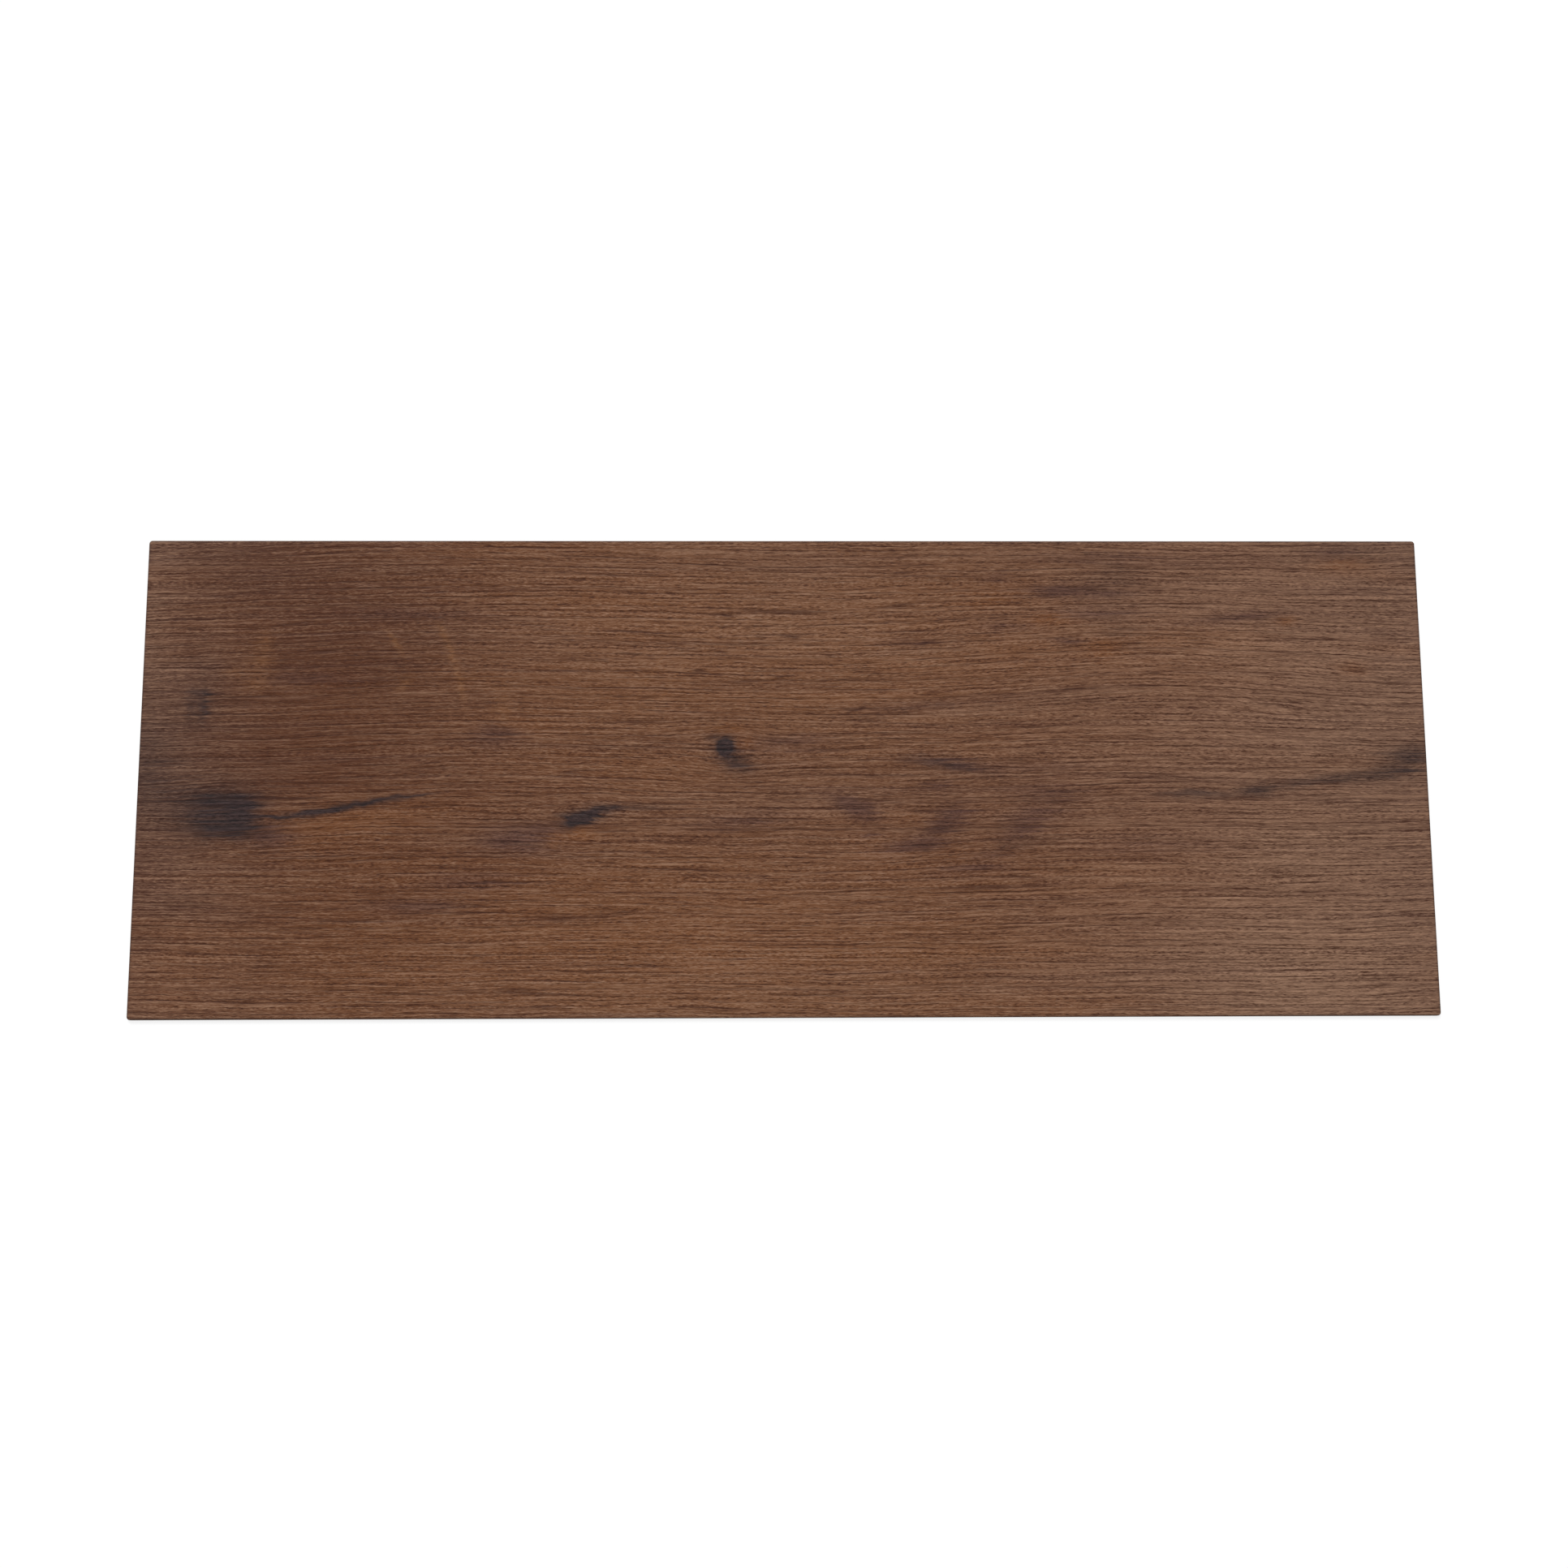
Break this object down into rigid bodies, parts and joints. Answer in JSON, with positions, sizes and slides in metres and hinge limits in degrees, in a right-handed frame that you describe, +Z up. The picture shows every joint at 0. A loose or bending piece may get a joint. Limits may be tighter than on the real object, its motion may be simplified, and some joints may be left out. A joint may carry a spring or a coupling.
{
  "type": "self-adhesive vinyl plank",
  "caption": "Flat rectangular flexible vinyl floor plank with an embossed, brown rustic oak print on its face, a rolled face edge and a plain adhesive back that sticks to a floor.",
  "frame": {"origin": "middle of the adhesive back, on the floor", "axes": "+X along the grain and the length, +Y across the grain, +Z up out of the printed face"},
  "size_m": [0.6096, 0.2286, 0.002],
  "materials": {
    "plank": "satin"
  },
  "bodies": {
    "root": {"plank": "plank"}
  },
  "joints": []
}
